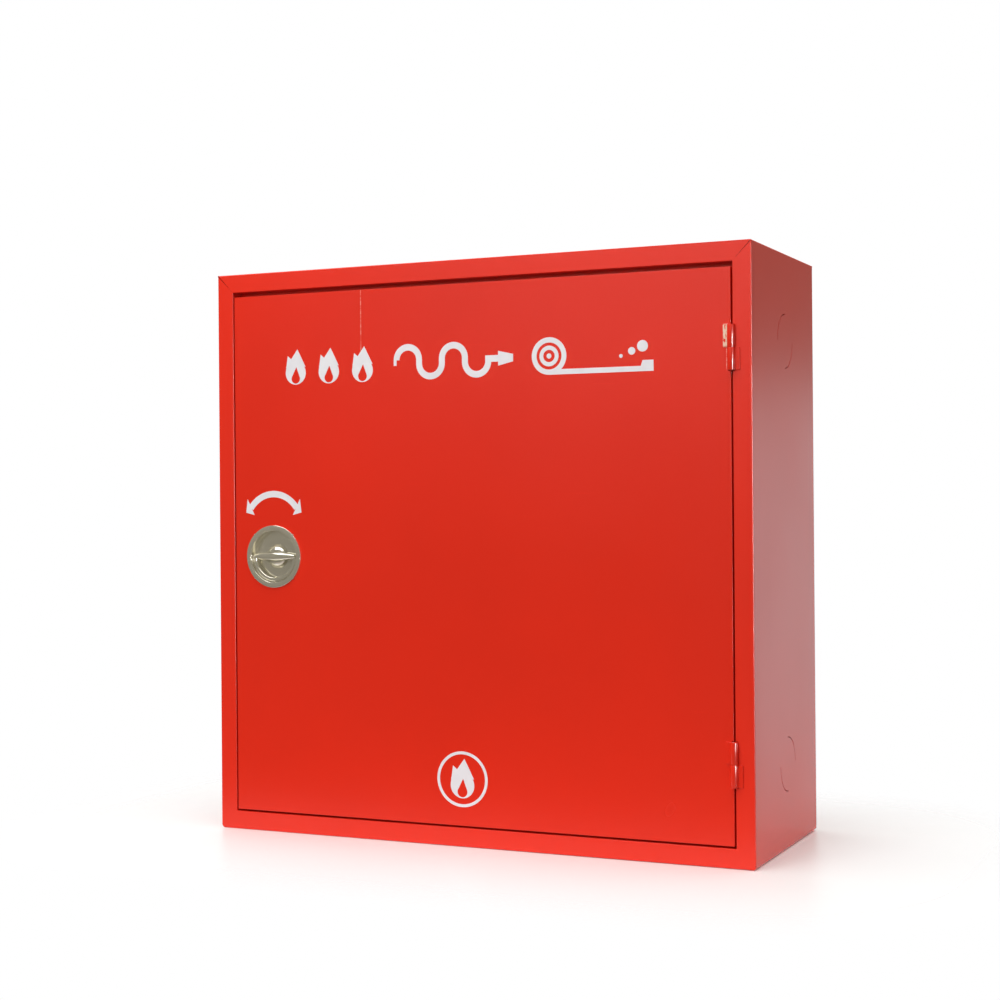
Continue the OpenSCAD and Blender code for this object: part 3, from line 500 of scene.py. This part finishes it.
def smooth_but_sharp_edges():
    """Smooth shading that stops at the sharp edges."""
    g = Nodes("smooth_but_sharp_edges")
    g.through(g.add("GeometryNodeSetShadeSmooth", domain="FACE"), Shade_Smooth=True)
    edges = g.add("GeometryNodeSetShadeSmooth", domain="EDGE")
    g.through(edges, Selection=g.sharp_edges(), Shade_Smooth=False)
    return g.done()


def add_bevel(obj, width_mm, segments, limit_method):
    bevel = obj.modifiers.new("bevel", "BEVEL")
    bevel.width = width_mm * MM
    bevel.segments = segments
    bevel.limit_method = limit_method
    return bevel


def round_folds(node, shading):
    """Rounds the folds of a bent sheet, and its cut edges less."""
    obj = frame["nodes"][node]
    obj.modifiers.new("weld", "WELD").merge_threshold = WELD_DISTANCE
    obj.modifiers.new("weights", "NODES").node_group = sheet_edge_weights(node, *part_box(node))
    add_bevel(obj, FOLD_MM[node], FOLD_SEGMENTS, "WEIGHT")
    obj.modifiers.new("shading", "NODES").node_group = shading
    obj.modifiers.new("normals", "WEIGHTED_NORMAL").keep_sharp = True


def soften(node, width_mm):
    """Rounds the sharp edges of a CAD node a little, as machined and pressed parts are."""
    obj = frame["nodes"][node]
    obj.modifiers.new("weld", "WELD").merge_threshold = WELD_DISTANCE
    bevel = add_bevel(obj, width_mm, EDGE_SEGMENTS, "ANGLE")
    bevel.angle_limit = SHARP_EDGE
    bevel.harden_normals = True


dress_cad_nodes()
sheet_shading = smooth_but_sharp_edges()
for node_name in SHEET_METAL:
    round_folds(node_name, sheet_shading)
for node_name, width in BEVELS_MM.items():
    soften(node_name, width)

# ---------- Hose ----------

HOSE_R = 13.3 * MM
HOSE_LAYERS = 5
TRAVEL_TURNS = 4
RINGS_PER_TURN = 48
HOSE_SIDES = 16
TAIL_STEPS = 6
WINDING_END_DEG = 100.0     # where the free end leaves the winding


def smooth_path(points, steps):
    """A Catmull-Rom curve through the points, steps samples for each span."""
    path = []
    for i in range(1, len(points) - 2):
        p0, p1, p2, p3 = points[i - 1:i + 3]
        for k in range(steps):
            t = k / steps
            path.append(0.5 * (2 * p1 + (p2 - p0) * t + (2 * p0 - 5 * p1 + 4 * p2 - p3) * t * t
                               + (3 * p1 - p0 - 3 * p2 + p3) * t ** 3))
    path.append(points[-2].copy())
    return path


def round_reel(angle_deg, radius, y):
    a = math.radians(angle_deg)
    return Vector((radius * math.cos(a), y, REEL_Z + radius * math.sin(a)))


# The free end, as in the CAD: angle round the reel, distance from its axle, distance behind the front, in mm
TAIL_TURN = [
    (90, 242, 88), (80, 244, 88), (70, 250, 88), (60, 260, 88), (50, 272, 88), (40, 283, 87),
    (30, 290, 83), (20, 293, 77), (10, 293, 69), (0, 290, 61), (-10, 284, 54), (-20, 274, 50),
    (-30, 260, 48), (-40, 246, 48), (-50, 230, 48),
]
TAIL_END = [(125, -185.5, 48), (103, -190, 48), (80, -190, 48), (60, -190, 48)]


def winding_path():
    """The hose on the drum: four turns across each layer, and one that climbs onto the next."""
    pack_r = (pack_hi.z - pack_lo.z) / 2
    drum_r = (drum_hi.z - drum_lo.z) / 2
    layer_step = (pack_r - drum_r) / HOSE_LAYERS
    pitch = (pack_hi.y - pack_lo.y) / (TRAVEL_TURNS + 1)
    y_back = pack_hi.y - pitch / 2
    y_front = pack_lo.y + pitch / 2
    path = []
    angle = WINDING_END_DEG + 360.0 * (HOSE_LAYERS * TRAVEL_TURNS + HOSE_LAYERS - 1)
    step = 360.0 / RINGS_PER_TURN
    for layer in range(HOSE_LAYERS):
        radius = drum_r + layer_step * (layer + 0.5)
        y_from, y_to = (y_back, y_front) if layer % 2 == 0 else (y_front, y_back)
        for k in range(TRAVEL_TURNS * RINGS_PER_TURN):
            t = k / (TRAVEL_TURNS * RINGS_PER_TURN)
            path.append(round_reel(angle, radius, y_from + (y_to - y_from) * t))
            angle -= step
        if layer < HOSE_LAYERS - 1:
            for k in range(RINGS_PER_TURN):
                left = 1 - k / RINGS_PER_TURN
                climb = math.sqrt(max(0.0, 1 - left * left))
                path.append(round_reel(angle, radius + layer_step * climb, y_to))
                angle -= step
    return path


def sweep(name, path, radius, sides, material):
    """A tube along a path, closed at both ends, with a frame carried smoothly from ring to ring."""
    verts, faces = [], []
    side = None
    for i, point in enumerate(path):
        ahead = path[min(i + 1, len(path) - 1)] - path[max(i - 1, 0)]
        ahead.normalize()
        side = ahead.orthogonal() if side is None else side - ahead * side.dot(ahead)
        side.normalize()
        up = ahead.cross(side)
        for k in range(sides):
            a = 2 * math.pi * k / sides
            verts.append(point + (side * math.cos(a) + up * math.sin(a)) * radius)
    for i in range(len(path) - 1):
        for k in range(sides):
            n = (k + 1) % sides
            faces.append((i * sides + k, i * sides + n, (i + 1) * sides + n, (i + 1) * sides + k))
    last = (len(path) - 1) * sides
    faces.append(tuple(range(sides - 1, -1, -1)))
    faces.append(tuple(last + k for k in range(sides)))
    return mesh_piece(name, verts, faces, material)


def mesh_piece(name, verts, faces, material):
    mesh = bpy.data.meshes.new(name)
    mesh.from_pydata(verts, [], faces)
    mesh.validate()
    mesh.update()
    for polygon in mesh.polygons:
        polygon.use_smooth = True
    mesh.materials.append(material)
    obj = bpy.data.objects.new(name, mesh)
    bpy.context.scene.collection.objects.link(obj)
    return obj


def make_hose():
    winding = winding_path()
    tail = [round_reel(a, r * MM, FRONT_Y + y * MM) for a, r, y in TAIL_TURN]
    tail += [Vector((x * MM, FRONT_Y + y * MM, REEL_Z + z * MM)) for x, z, y in TAIL_END]
    tail = smooth_path([winding[-1]] + tail, TAIL_STEPS)
    hose = sweep("hose", winding + tail, HOSE_R, HOSE_SIDES, MATERIALS["hose_rubber"])
    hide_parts("hose_wound", "hose_tail")
    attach(hose, "reel")


make_hose()

# ---------- Floor ----------


def make_floor():
    """A pale, faintly glossy floor that fades out into the backdrop well away from the cabinet."""
    s = Surface("floor", (0.80, 0.80, 0.80), 0.32)
    s.roughness_from(s.spread(s.noise(3, 2), 0.3, 0.7, 0.30, 0.36))
    s.shader.inputs["Emission Color"].default_value = (1, 1, 1, 1)
    s.shader.inputs["Emission Strength"].default_value = FLOOR_GLOW
    beyond = []
    for axis, half_size in (("X", shell_hi.x), ("Y", -FRONT_Y)):
        outside = s.math("SUBTRACT", s.math("ABSOLUTE", s.coordinate(axis), 0.0), half_size)
        beyond.append(s.math("POWER", s.math("MAXIMUM", outside, 0.0), 2.0))
    distance = s.math("SQRT", s.math("ADD", *beyond), 0.0)
    s.link(s.spread(distance, FLOOR_FADE_FROM, FLOOR_FADE_TO, 1.0, 0.0), s.shader.inputs["Alpha"])
    half = FLOOR_HALF_SIZE
    floor = mesh_piece(
        "floor",
        [(-half, -half, 0), (half, -half, 0), (half, half, 0), (-half, half, 0)],
        [(0, 1, 2, 3)],
        s.material,
    )
    floor.location.z = -FLOOR_DROP


make_floor()
